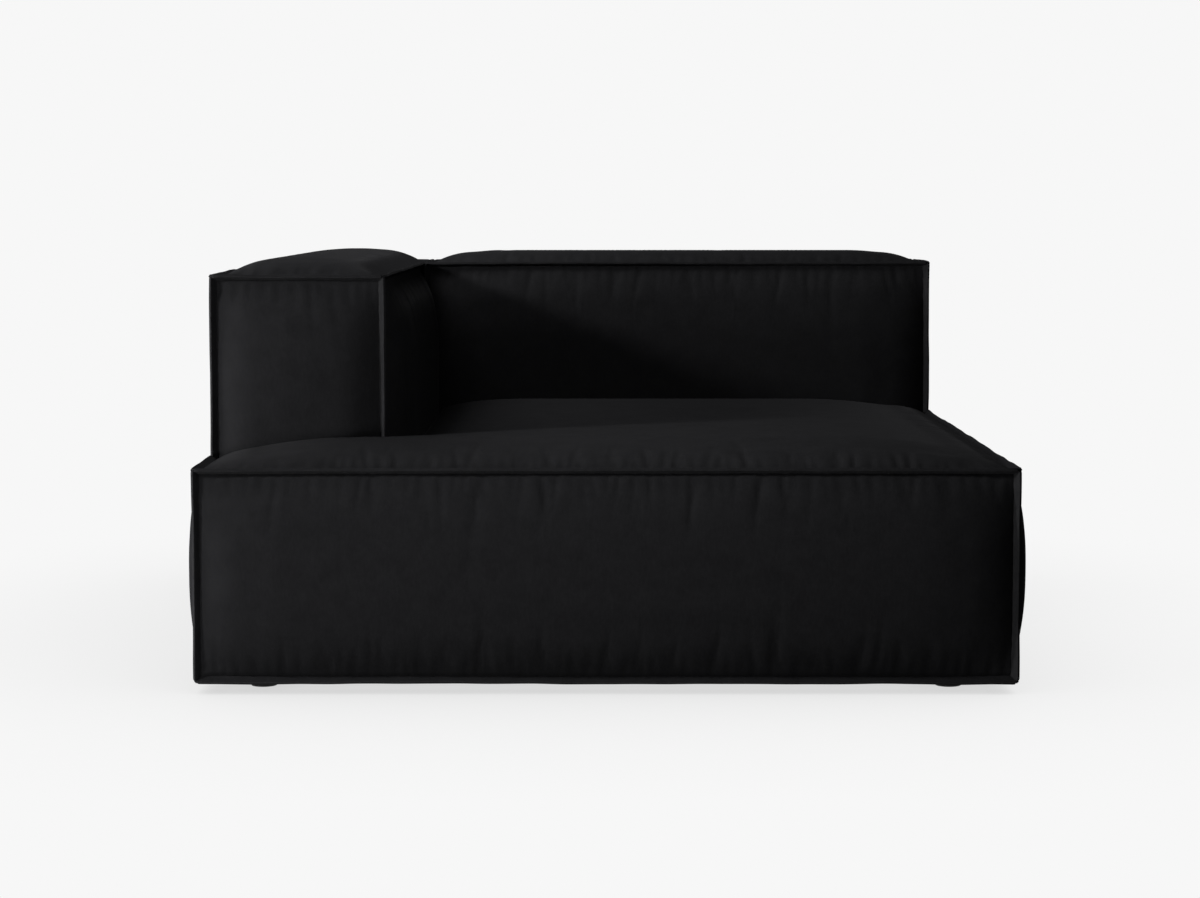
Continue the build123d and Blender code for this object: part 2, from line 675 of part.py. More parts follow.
def foot():
    """One turned foot with the stud that screws into its block."""
    with BuildPart() as piece:
        with BuildSketch(Plane.XZ):
            with BuildLine():
                Polyline(
                    (0, 0),
                    (FOOT_TIP_R - FOOT_EDGE, 0),
                    (FOOT_TIP_R, FOOT_EDGE),
                    (FOOT_TOP_R, DUST_Z[0]),
                    (STUD_R, DUST_Z[0]),
                    (STUD_R, STUD_TOP),
                    (0, STUD_TOP),
                    close=True,
                )
            make_face()
        revolve(axis=Axis.Z)
    return piece.part


with BuildPart() as feet:
    with Locations(*FEET):
        add(foot())
pieces["feet"] = feet.part


# Bolts that join the arm and back to the seat, and the back to the arm
def bolt_set(plane, points, grip):
    """Hexagon bolts driven down through a grip."""
    with BuildPart() as bolts:
        with BuildSketch(plane):
            with Locations(*points):
                RegularPolygon(BOLT_HEAD_R, 6)
        extrude(amount=BOLT_HEAD)
        with BuildSketch(plane):
            with Locations(*points):
                Circle(BOLT_R)
        extrude(amount=-grip)
    return bolts.part


ARM_GRIP = BOLT_RAIL + PANEL + BOARD + BOLT_END
BACK_GRIP = 2 * BOARD + BOLT_END

with BuildPart() as unit_bolts:
    add(bolt_set(left_plane(BOLT_HEAD_X), [(-y, z) for y, z in ARM_BOLTS], ARM_GRIP))
    add(bolt_set(rear_plane(RAIL_Y[1]), BACK_BOLTS, BACK_GRIP))
pieces["unit_bolts"] = unit_bolts.part

for name, piece in pieces.items():
    piece.label = name
    export_step(piece, f"parts/{name}.step")
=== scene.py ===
import json
import math
import random
from collections import namedtuple

import bmesh
import bpy
import numpy as np
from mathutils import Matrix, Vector, noise


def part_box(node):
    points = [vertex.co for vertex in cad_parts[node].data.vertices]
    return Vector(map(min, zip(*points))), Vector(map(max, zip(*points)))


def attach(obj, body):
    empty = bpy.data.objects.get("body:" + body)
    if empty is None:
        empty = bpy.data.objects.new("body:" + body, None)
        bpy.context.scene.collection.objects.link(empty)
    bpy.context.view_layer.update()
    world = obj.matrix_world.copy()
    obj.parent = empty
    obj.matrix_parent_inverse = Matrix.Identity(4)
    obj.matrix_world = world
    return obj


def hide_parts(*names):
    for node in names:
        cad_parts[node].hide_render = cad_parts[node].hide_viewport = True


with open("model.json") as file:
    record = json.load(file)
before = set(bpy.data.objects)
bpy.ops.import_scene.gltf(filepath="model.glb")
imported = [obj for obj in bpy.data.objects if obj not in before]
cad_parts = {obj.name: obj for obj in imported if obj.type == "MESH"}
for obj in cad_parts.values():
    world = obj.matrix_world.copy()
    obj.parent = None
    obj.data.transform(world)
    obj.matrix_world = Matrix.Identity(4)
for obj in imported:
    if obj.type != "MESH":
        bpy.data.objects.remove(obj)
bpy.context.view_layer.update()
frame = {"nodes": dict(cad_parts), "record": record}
nodes = frame["nodes"]
scene = bpy.context.scene
noise.seed_set(7)  # unseeded, its offsets follow the clock

# Mesh and simulation
CELL = ((0.0045, 0.009, 0.011))
FRAMES = 8
WELDS_PER_METRE = 5000
FULLNESS = 0.004
PRESSURE = 50.0

# The foam behind a cover: none in a loose band at the seam, then ever firmer
HOLD = 0.35
LOOSE_BAND = 0.04
FIRM_RUN = 0.09

# Crowned panels, in metres: a quick lift at the seam, then a long shoulder
LIFT = 0.11
LIFT_RUN = 0.009
SHOULDER_POWER = 2.1
SHOULDER = 0.15
SEAT_SHOULDER = 0.27
SEAT_FRONT_SHOULDER = 0.2
OUTER_SHOULDER = 0.36
CORNER_SHOULDERS = (0.05, 0.19)
LEAST_CROWN = 0.004
INNER_FULLER = 0.010
SHOULDER_OF_SPAN = 0.47
WIDE = 1.2  # a span that no shoulder fills
ON_SEAM = 1e-6
SEAM_WANDER = 0.0012
SEAM_NOISE = 5.0

# Where the seat meets arm and back
CREVICE = 0.004
DIP = 0.030
FRONT_DIP = 0.003
DIP_RUN = 0.25
TUCK_RUN = 0.045
ARM_TUCK_SHARE = 0.55

# Cover turned in under the frame
RIM = 0.022
RIM_RISE = 0.006

# Seam flanges
REACH = 0.0085
FLANGE_HALF = 0.0027
FLANGE_ROOT = 0.005
FLANGE_STEP = 0.007
FLANGE_SAG = 0.6
FLANGE_TURN = 0.008
TURN_CUT = 0.35
LEAN = 0.0016
LEAN_NOISE = 16.0
STRETCH = 0.1
STRETCH_NOISE = 11.0
# Flange faces leaning right or up by more than this keep the plain velvet; the rest get the lighter
# copy, painted light as if lit from the left
PAINTED_TONE_SPLIT = 0.3
SHARP_ANGLE = math.radians(30)

# Gathers: gap between furrows, half width, depth and length; the fine ones sit on the settled cloth
Gather = namedtuple("Gather", "gap half depth reach")
BROAD = Gather((0.035, 0.11), (0.008, 0.013), 0.0050, 0.055)
FINE = Gather((0.014, 0.030), (0.0042, 0.0070), 0.0048, 0.034)
SIZE_SHARES = (0.4, 1.0)
LONG_ODDS = 0.15
SHORT_SHARES = (0.65, 1.1)
LONG_SHARES = (1.2, 2.2)
FURROW_LEAN = 0.2
UPRIGHT_SEAM = 0.4
SEAT_TOP_SIDE = 0.5
SEAT_SEAM = 1.25

X, Y, Z = Vector((1, 0, 0)), Vector((0, 1, 0)), Vector((0, 0, 1))
REACH3 = Vector((REACH, REACH, REACH))


def seam_box(unit):
    low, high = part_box(unit + "_seam_flange")
    return Vector(low) + REACH3, Vector(high) - REACH3


def crowns(unit, low, high):
    skin_low, skin_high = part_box(unit + "_cover")
    return low - Vector(skin_low), Vector(skin_high) - high


SEAT_LOW, SEAT_HIGH = seam_box("seat")
ARM_LOW, ARM_HIGH = seam_box("arm")
BACK_LOW, BACK_HIGH = seam_box("back")
SEAT_OUT, SEAT_UP = crowns("seat", SEAT_LOW, SEAT_HIGH)
ARM_OUT, ARM_UP = crowns("arm", ARM_LOW, ARM_HIGH)
ARM_UP.x += INNER_FULLER
BACK_OUT, BACK_UP = crowns("back", BACK_LOW, BACK_HIGH)
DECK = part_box("seat_webbing_crosswise")[1][2]
CORNER_REAR = ARM_LOW.y - (BACK_LOW.y - SEAT_HIGH.y)


def wander(point):
    """Small drift of a sewn line, so that no seam runs dead straight."""
    return noise.noise_vector(point * SEAM_NOISE) * SEAM_WANDER


def rise(distance, span, shoulder=SHOULDER):
    """Share of the crown reached at a distance from a seam."""
    share = np.clip(distance / min(shoulder, SHOULDER_OF_SPAN * span), 0.0, 1.0)
    lift = 1.0 - np.exp(-np.maximum(distance, 0.0) / LIFT_RUN)
    return LIFT * lift + (1.0 - LIFT) * (1.0 - (1.0 - share) ** SHOULDER_POWER)


def gathers(kind, seed, along, away, length, strength=1.0):
    """Cloth gathered into a seam: furrows running away from it, uneven in place and size."""
    draw = random.Random(seed)
    total = np.zeros_like(away)
    place = draw.uniform(*kind.gap)
    while place < length - kind.gap[0]:
        size = strength * kind.depth * draw.uniform(*SIZE_SHARES)
        shares = SHORT_SHARES if draw.random() < 1.0 - LONG_ODDS else LONG_SHARES
        fade = kind.reach * draw.uniform(*shares)
        half = draw.uniform(*kind.half)
        lean = draw.uniform(-FURROW_LEAN, FURROW_LEAN)
        furrow = np.exp(-(((along - place - lean * away) / half) ** 2))
        total -= size * furrow * np.exp(-((away / fade) ** 2)) * (away / (away + half))
        place += draw.uniform(*kind.gap)
    return total


def sewn(kind, seams, near):
    """Gathers of all the seams round a panel, dying out at its edges.

    Each seam is (seed, along, away, length, strength).
    """
    total = sum(gathers(kind, *seam) for seam in seams)
    return total * np.clip(near / (1.5 * kind.half[0]), 0.0, 1.0)


class Skin:
    """The sewn cover of one block, welded from panels."""

    def __init__(self):
        self.index = {}
        self.points = []
        self.hold = []
        self.pucker = []
        self.faces = []

    def vertex(self, point, hold, pucker):
        key = tuple(round(c * WELDS_PER_METRE) for c in point)
        if key not in self.index:
            self.index[key] = len(self.points)
            self.points.append(Vector(point))
            self.hold.append(hold)
            self.pucker.append(pucker)
        number = self.index[key]
        self.hold[number] = max(self.hold[number], hold)
        return number

    def patch(self, points, hold, out, pucker):
        """A grid of points, how firmly each is held, and its fine puckers along the normal."""
        rows = [
            [self.vertex(p, h, out * d) for p, h, d in zip(*row)]
            for row in zip(points, hold, pucker)
        ]
        for low, high in zip(rows, rows[1:]):
            for a, b, c, d in zip(low, low[1:], high[1:], high):
                corners = []
                for corner in (a, b, c, d):
                    if corner not in corners:
                        corners.append(corner)
                if len(corners) > 2:
                    self.faces.append(corners)


def steps(run):
    """Cells along a run, finest across the width, where the gathers show."""
    return max(2, round(sum(abs(part) / cell for part, cell in zip(run, CELL))))


def backing(distance):
    """How firmly the foam behind holds the cover, from a loose seam band to the filled middle."""
    share = np.clip((distance - LOOSE_BAND) / FIRM_RUN, 0.0, 1.0)
    return HOLD * share * share * (3.0 - 2.0 * share)


def panel(skin, corner, across, up, out, crown, seed, soft=(0, 1, 0, 1), ends=SHOULDER):
    """One crowned panel, sewn on four sides; only the soft share of it is free to puff."""
    wide, tall = across.length, up.length
    columns, rows = steps(across), steps(up)
    u, v = np.meshgrid(np.linspace(0, 1, columns + 1), np.linspace(0, 1, rows + 1))
    sides = ((u - soft[0]) * wide, (soft[1] - u) * wide, (v - soft[2]) * tall, (soft[3] - v) * tall)
    span_u, span_v = (soft[1] - soft[0]) * wide, (soft[3] - soft[2]) * tall
    near_u, near_v = np.minimum(*sides[:2]), np.minimum(*sides[2:])
    near = np.minimum(near_u, near_v)
    away = [np.maximum(side, 0.0) for side in sides]
    seams = [
        (seed * 10, v * tall, away[0], tall, UPRIGHT_SEAM),
        (seed * 10 + 1, v * tall, away[1], tall, UPRIGHT_SEAM),
        (seed * 10 + 2, u * wide, away[2], wide),
        (seed * 10 + 3, u * wide, away[3], wide),
    ]
    height = crown * rise(near_u, span_u, ends) * rise(near_v, span_v) + sewn(BROAD, seams, near)
    free = near > ON_SEAM
    height = np.where(free, height, 0.0)
    hold = np.where(free, backing(near), 1.0)
    grid = [
        [corner + across * u[j, i] + up * v[j, i] + out * height[j, i] for i in range(columns + 1)]
        for j in range(rows + 1)
    ]
    skin.patch(grid, hold.tolist(), out, sewn(FINE, seams, near).tolist())


def block(low, high, below, above, seed, inner=(0, 1, 0, 1), front=(0, 1, 0, 1)):
    """Five panels of an upright block, its bottom left open."""
    size = high - low
    dx, dy, dz = X * size.x, Y * size.y, Z * size.z
    skin = Skin()
    panel(skin, low.copy(), dx, dz, -Y, below.y, seed, soft=front)
    panel(skin, low + dx + dy, -dx, dz, Y, above.y, seed + 1)
    panel(skin, low + dy, -dy, dz, -X, max(LEAST_CROWN, below.x), seed + 2, ends=OUTER_SHOULDER)
    panel(skin, low + dx, dy, dz, X, above.x, seed + 3, soft=inner)
    panel(skin, low + dz, dx, dy, Z, above.z, seed + 4)
    return skin


def seat_skin():
    """L-shaped seat: crowned top, front, right and short left panels, plain crevice walls."""
    left, right, front = SEAT_LOW.x, SEAT_HIGH.x, SEAT_LOW.y
    base, top = SEAT_LOW.z, SEAT_HIGH.z
    corner = CORNER_REAR
    notch = ARM_HIGH.x + REACH + CREVICE
    rear = SEAT_HIGH.y
    crown = SEAT_UP.z

    def notch_x(y):
        return notch + (ARM_UP.x - REACH) * rise(y - ARM_LOW.y, WIDE)

    def corner_y(x):
        span = ARM_HIGH.x - ARM_LOW.x
        bulge = ARM_OUT.y * rise(min(x - left, ARM_HIGH.x - x), span) + CREVICE
        return min(corner, ARM_LOW.y - bulge)

    def rear_y(x):
        bulge = BACK_OUT.y * rise(min(x - BACK_LOW.x, right - x), WIDE) + CREVICE
        return min(rear, BACK_LOW.y - bulge)

    n1, n2 = steps(X * (notch - left)), steps(X * (right - notch))
    m1, m2 = steps(Y * (corner - front)), steps(Y * (rear - corner))

    def spot(i, j):
        x = left + (notch - left) * i / n1
        if i > n1:
            x = notch + (right - notch) * (i - n1) / n2
        y = front + (corner - front) * j / m1
        if j > m1:
            y = corner + (rear - corner) * (j - m1) / m2
        if i < n1:
            y = front + (y - front) * (corner_y(x) - front) / (corner - front)
        if j > m1:
            x = right - (right - x) * (right - notch_x(y)) / (right - notch)
            y = corner + (y - corner) * (rear_y(x) - corner) / (rear - corner)
        return x, y

    def open_distance(i, j, x, y):
        near = [rear_y(x) - y]
        if j > m1:
            near.append(ARM_TUCK_SHARE * (x - notch_x(y)))
        elif i < n1:
            near.append(corner_y(x) - y)
        else:
            near.append(math.hypot(ARM_TUCK_SHARE * (x - notch), y - corner))
        return max(0.0, min(near))

    places = np.full((m1 + m2 + 1, n1 + n2 + 1, 2), np.nan)
    tuck = np.zeros(places.shape[:2])
    for j in range(m1 + m2 + 1):
        for i in range(0 if j <= m1 else n1, n1 + n2 + 1):
            places[j, i] = spot(i, j)
            tuck[j, i] = math.exp(-open_distance(i, j, *places[j, i]) / TUCK_RUN)
    xs, ys = places[..., 0], places[..., 1]
    beside_arm = np.arange(m1 + m2 + 1)[:, None] > m1
    from_left = np.maximum(xs - left, np.where(beside_arm, 1.0, 0.0))
    near = np.minimum(np.minimum(ys - front, right - xs), from_left)
    rises = crown * rise(ys - front, WIDE, SEAT_FRONT_SHOULDER)
    rises = rises * rise(right - xs, WIDE, SEAT_SHOULDER) * rise(from_left, WIDE, SEAT_SHOULDER)
    dip = FRONT_DIP + (DIP - FRONT_DIP) * np.clip((ys - corner) / DIP_RUN, 0.0, 1.0)
    rises = rises * (1.0 - tuck) + np.minimum(rises, crown - dip) * tuck
    seams = [
        (1, xs - left, np.nan_to_num(ys - front), right - left, SEAT_SEAM),
        (2, ys - front, np.nan_to_num(right - xs), rear - front, SEAT_TOP_SIDE),
        (3, ys - front, np.nan_to_num(from_left), corner - front, SEAT_TOP_SIDE),
    ]
    rises = rises + sewn(BROAD, seams, near) * (1.0 - tuck)
    rises = np.where(near < ON_SEAM, 0.0, rises)
    pucker = sewn(FINE, seams, near) * (1.0 - tuck)

    def height(i, j):
        return Vector((xs[j, i], ys[j, i], top + rises[j, i]))

    def hold(i, j):
        wall = (i == n1 and j >= m1) or (j == m1 and i <= n1) or j == m1 + m2
        return 1.0 if wall or near[j, i] < ON_SEAM else float(backing(near[j, i]))

    skin = Skin()
    for i0, i1, j0, j1 in ((0, n1, 0, m1), (n1, n1 + n2, 0, m1), (n1, n1 + n2, m1, m1 + m2)):
        columns, lines = range(i0, i1 + 1), range(j0, j1 + 1)
        skin.patch(
            [[height(i, j) for i in columns] for j in lines],
            [[hold(i, j) for i in columns] for j in lines],
            Z,
            pucker[j0 : j1 + 1, i0 : i1 + 1].tolist(),
        )

    rows = steps(Z * (top - base))
    panel_x = [spot(i, 0)[0] for i in range(n1 + n2 + 1)]
    strip(skin, [(x, front) for x in panel_x], base, top, rows, -Y, SEAT_OUT.y, 11)
    right_y = [spot(n1 + n2, j)[1] for j in range(m1 + m2 + 1)]
    strip(skin, [(right, y) for y in right_y], base, top, rows, X, SEAT_UP.x, 12)
    left_y = [spot(0, j)[1] for j in range(m1, -1, -1)]
    strip(skin, [(left, y) for y in left_y], base, top, rows, -X, SEAT_OUT.x, 13, CORNER_SHOULDERS)
    crevice = [height(i, m1 + m2) for i in range(n1 + n2, n1 - 1, -1)]
    crevice += [height(n1, j) for j in range(m1 + m2 - 1, m1 - 1, -1)]
    crevice += [height(i, m1) for i in range(n1 - 1, -1, -1)]
    points = [
        [Vector((p.x, p.y, base + (top - base) * k / rows)) for p in crevice]
        for k in range(rows + 1)
    ]
    points.append(crevice)
    fixed = np.ones((len(points), len(crevice)))
    skin.patch(points, fixed.tolist(), Z, (0.0 * fixed).tolist())
    return skin


def strip(skin, line, base, top, rows, out, crown, seed, shoulders=(SHOULDER, SHOULDER)):
    """A side panel of the seat, sewn on all four sides, along a line in plan."""
    first = Vector(line[0])
    run = np.array([(Vector(place) - first).length for place in line])
    total, tall = run[-1], top - base
    u, v = np.meshgrid(run, np.linspace(0.0, tall, rows + 1))
    near_u, near_v = np.minimum(u, total - u), np.minimum(v, tall - v)
    near = np.minimum(near_u, near_v)
    height = crown * rise(near_v, tall)
    height = height * rise(u, WIDE, shoulders[0])
    height = height * rise(total - u, WIDE, shoulders[1])
    seams = [
        (seed * 10, u, tall - v, total, SEAT_SEAM),
        (seed * 10 + 1, u, v, total, SEAT_SEAM),
        (seed * 10 + 2, v, u, tall, UPRIGHT_SEAM),
        (seed * 10 + 3, v, total - u, tall, UPRIGHT_SEAM),
    ]
    height = np.where(near > ON_SEAM, height + sewn(BROAD, seams, near), 0.0)
    hold = np.where(near > ON_SEAM, backing(near), 1.0)
    grid = [
        [Vector((*place, base + v[k, i])) + out * height[k, i] for i, place in enumerate(line)]
        for k in range(rows + 1)
    ]
    skin.patch(grid, hold.tolist(), out, sewn(FINE, seams, near).tolist())


def puff(skin, name, low, high):
    """Fills the sewn cover: pressure against a cover cut a little full, its seams held."""
    mesh = bpy.data.meshes.new(name)
    places = [p + wander(p) if h > 0.99 else p for p, h in zip(skin.points, skin.hold)]
    mesh.from_pydata(places, [], skin.faces)
    mesh.validate()
    piece = bpy.data.objects.new(name, mesh)
    scene.collection.objects.link(piece)
    group = piece.vertex_groups.new(name="seams")
    for number, firm in enumerate(skin.hold):
        group.add([number], firm, "REPLACE")
    cloth = piece.modifiers.new("cloth", "CLOTH")
    settings = cloth.settings
    settings.vertex_group_mass = "seams"
    settings.pin_stiffness = 20
    settings.quality = 4
    settings.mass = 0.002
    settings.air_damping = 2.0
    settings.tension_stiffness = 25
    settings.compression_stiffness = 25
    settings.shear_stiffness = 10
    settings.bending_stiffness = 0.15
    settings.tension_damping = 12
    settings.compression_damping = 12
    settings.shear_damping = 8
    settings.shrink_min = -FULLNESS
    settings.use_pressure = True
    settings.uniform_pressure_force = PRESSURE
    settings.effector_weights.gravity = 0.0
    cloth.collision_settings.use_collision = False
    cloth.point_cache.frame_start = 1
    cloth.point_cache.frame_end = FRAMES
    for f in range(1, FRAMES + 1):
        scene.frame_set(f)
    shaped = piece.evaluated_get(bpy.context.evaluated_depsgraph_get())
    settled = [v.co.copy() for v in shaped.data.vertices]
    piece.modifiers.remove(cloth)
    piece.vertex_groups.remove(group)
    for vertex, place, pucker in zip(mesh.vertices, settled, skin.pucker):
        vertex.co = place + pucker
    close_bottom(mesh, low, high)
    for face in mesh.polygons:
        face.use_smooth = True
    return piece


def close_bottom(mesh, low, high):
    """Turns the cover in under the frame and closes it above the dust cloth."""
    work = bmesh.new()
    work.from_mesh(mesh)
    rim = [e for e in work.edges if e.is_boundary]
    grown = bmesh.ops.extrude_edge_only(work, edges=rim)["geom"]
    turned = [g for g in grown if isinstance(g, bmesh.types.BMVert)]
    for vertex in turned:
        vertex.co.x = max(low.x + RIM, min(high.x - RIM, vertex.co.x))
        vertex.co.y = max(low.y + RIM, min(high.y - RIM, vertex.co.y))
        vertex.co.z += RIM_RISE
    inner = [g for g in grown if isinstance(g, bmesh.types.BMEdge)]
    bmesh.ops.holes_fill(work, edges=inner, sides=0)
    bmesh.ops.recalc_face_normals(work, faces=work.faces)
    work.to_mesh(mesh)
    work.free()


def flange(work, start, end, one, two, start_push, end_push):
    """A stand-proud seam strip between two panels, its corners turned and rounded off.

    Its outline goes from the root through a slight neck to a rounded tip.
    """
    along = (end - start).normalized()
    bisector = (one + two * (FLANGE_SAG if two == Z else 1.0)).normalized()
    side = along.cross(bisector)
    tip = REACH * math.sqrt(2)
    half = FLANGE_HALF
    outline = [
        (-FLANGE_ROOT, -half),
        (0.22 * tip, -0.7 * half),
        (0.4 * tip, -half),
        (tip - 0.3 * half, -half),
        (tip, -0.75 * half),
        (tip, 0.75 * half),
        (tip - 0.3 * half, half),
        (0.4 * tip, half),
        (0.22 * tip, 0.7 * half),
        (-FLANGE_ROOT, half),
    ]
    length = (end - start).length
    count = max(4, round((length - 2 * FLANGE_TURN) / FLANGE_STEP))
    middle = [FLANGE_TURN + (length - 2 * FLANGE_TURN) * k / count for k in range(count + 1)]
    turn = [FLANGE_TURN * share for share in (0.0, 0.33, 0.66)]
    rings = []
    for stop in turn + middle + [length - d for d in reversed(turn)]:
        t = stop / length
        seam = start.lerp(end, t)
        lean = noise.noise(seam * LEAN_NOISE + one * 3.0)
        stretch = 1.0 + STRETCH * noise.noise(seam * STRETCH_NOISE + two * 5.0)
        stretch -= TURN_CUT * max(0.0, 1.0 - min(stop, length - stop) / FLANGE_TURN) ** 2
        push = (end_push * t - start_push * (1.0 - t)) * REACH
        ring = []
        for r, s in outline:
            share = max(0.0, r / tip)
            place = seam + wander(seam) + bisector * (r * stretch)
            place += side * (s + LEAN * lean * share)
            place += along * (push * share * stretch)
            ring.append(work.verts.new(place))
        rings.append(ring)
    for first, second in zip(rings, rings[1:]):
        for corners in zip(first, first[1:] + first[:1], second[1:] + second[:1], second):
            work.faces.new(corners)
    work.faces.new(rings[0][::-1])
    work.faces.new(rings[-1])


def flange_piece(name, edges):
    """The seam strips of a block; faces turned left or down get a lighter velvet, painted light as
    if lit from the left, and faces turned right or up stay dark.
    """
    work = bmesh.new()
    for edge in edges:
        flange(work, *edge)
    bmesh.ops.recalc_face_normals(work, faces=work.faces)
    mesh = bpy.data.meshes.new(name)
    work.to_mesh(mesh)
    work.free()
    for face in mesh.polygons:
        face.use_smooth = True
        # Painted light: the lighter velvet goes on flange faces turned left or down, the plain one
        # on faces turned right or up
        face.material_index = 0 if max(face.normal.x, face.normal.z) > PAINTED_TONE_SPLIT else 1
    mesh.set_sharp_from_angle(angle=SHARP_ANGLE)
    piece = bpy.data.objects.new(name, mesh)
    scene.collection.objects.link(piece)
    return piece


def at(low, high, code):
    """A corner of a box, by l or h for each axis."""
    return Vector([(low if c == "l" else high)[k] for k, c in enumerate(code)])


def ring_edges(low, high, y, out):
    """The four seams round a front or rear panel."""
    a, b = Vector(low), Vector(high)
    a.y = b.y = at(low, high, "l" + y + "l").y
    corners = [a, Vector((b.x, a.y, a.z)), b, Vector((a.x, a.y, b.z))]
    normals = [-Z, X, Z, -X]
    return [
        (corners[k], corners[(k + 1) % 4], out, normals[k], 1.0, 1.0)
        for k in range(4)
    ]


def length_edges(low, high, codes):
    """Seams running front to rear, by the l or h of their x and z."""
    edges = []
    for x, z in codes:
        side = -X if x == "l" else X
        level = -Z if z == "l" else Z
        begin, finish = at(low, high, x + "l" + z), at(low, high, x + "h" + z)
        edges.append((begin, finish, side, level, 1.0, 1.0))
    return edges


def material(name, colour, roughness, build=None):
    mat = bpy.data.materials.new(name)
    mat.use_nodes = True
    tree = mat.node_tree
    shader = tree.nodes["Principled BSDF"]
    shader.inputs["Base Color"].default_value = (*colour, 1.0)
    shader.inputs["Roughness"].default_value = roughness
    if build:
        build(tree, shader)
    return mat


def noise_node(tree, scale, detail=3.0, roughness=0.5, stretch=None):
    place = tree.nodes.new("ShaderNodeTexCoord")
    texture = tree.nodes.new("ShaderNodeTexNoise")
    texture.inputs["Scale"].default_value = scale
    texture.inputs["Detail"].default_value = detail
    texture.inputs["Roughness"].default_value = roughness
    if stretch is None:
        tree.links.new(place.outputs["Object"], texture.inputs["Vector"])
    else:
        mapping = tree.nodes.new("ShaderNodeMapping")
        mapping.inputs["Scale"].default_value = stretch
        tree.links.new(place.outputs["Object"], mapping.inputs["Vector"])
        tree.links.new(mapping.outputs["Vector"], texture.inputs["Vector"])
    return texture


def spread(tree, source, low, high, from_low=0.3, from_high=0.7):
    node = tree.nodes.new("ShaderNodeMapRange")
    node.inputs["From Min"].default_value = from_low
    node.inputs["From Max"].default_value = from_high
    node.inputs["To Min"].default_value = low
    node.inputs["To Max"].default_value = high
    tree.links.new(source, node.inputs["Value"])
    return node.outputs["Result"]


def two_colours(tree, shader, source, first, second):
    mix = tree.nodes.new("ShaderNodeMix")
    mix.data_type = "RGBA"
    mix.inputs[6].default_value = (*first, 1.0)
    mix.inputs[7].default_value = (*second, 1.0)
    tree.links.new(source, mix.inputs[0])
    tree.links.new(mix.outputs[2], shader.inputs["Base Color"])


def bump(tree, shader, source, strength, distance):
    node = tree.nodes.new("ShaderNodeBump")
    node.inputs["Strength"].default_value = strength
    node.inputs["Distance"].default_value = distance
    tree.links.new(source, node.inputs["Height"])
    tree.links.new(node.outputs["Normal"], shader.inputs["Normal"])


def velvet_nodes(first, second):
    """Short dense pile: a cloudy nap, fine flecks, a faint sheen and no gloss."""

    def build(tree, shader):
        nap = noise_node(tree, 28.0, 6.0, 0.65)
        pile = noise_node(tree, 700.0, 2.0, 0.6)
        fleck = noise_node(tree, 260.0, 2.0, 0.5, (1.0, 1.0, 0.4))
        both = tree.nodes.new("ShaderNodeMath")
        both.operation = "ADD"
        tree.links.new(spread(tree, nap.outputs["Fac"], 0.0, 0.6), both.inputs[0])
        tree.links.new(spread(tree, fleck.outputs["Fac"], 0.0, 0.4), both.inputs[1])
        two_colours(tree, shader, both.outputs["Value"], first, second)
        shader.inputs["Specular IOR Level"].default_value = 0.0
        shader.inputs["Sheen Weight"].default_value = 0.017
        shader.inputs["Sheen Roughness"].default_value = 0.35
        shader.inputs["Sheen Tint"].default_value = (0.85, 0.85, 0.88, 1.0)
        bump(tree, shader, pile.outputs["Fac"], 0.25, 0.0006)

    return build


def grain_nodes(first, second, stretch, scale, gloss=0.5):
    def build(tree, shader):
        shader.inputs["Specular IOR Level"].default_value = gloss
        grain = noise_node(tree, scale, 5.0, 0.6, stretch)
        shade = spread(tree, grain.outputs["Fac"], 0.0, 1.0)
        two_colours(tree, shader, shade, first, second)
        bump(tree, shader, grain.outputs["Fac"], 0.1, 0.0005)

    return build


def steel_nodes(tree, shader):
    brushed = noise_node(tree, 300.0)
    shader.inputs["Metallic"].default_value = 1.0
    tree.links.new(spread(tree, brushed.outputs["Fac"], 0.25, 0.45), shader.inputs["Roughness"])


VELVET = material(
    "velvet", (0.0145, 0.0145, 0.0154), 0.85,
    velvet_nodes((0.012, 0.012, 0.0128), (0.017, 0.017, 0.0181)),
)
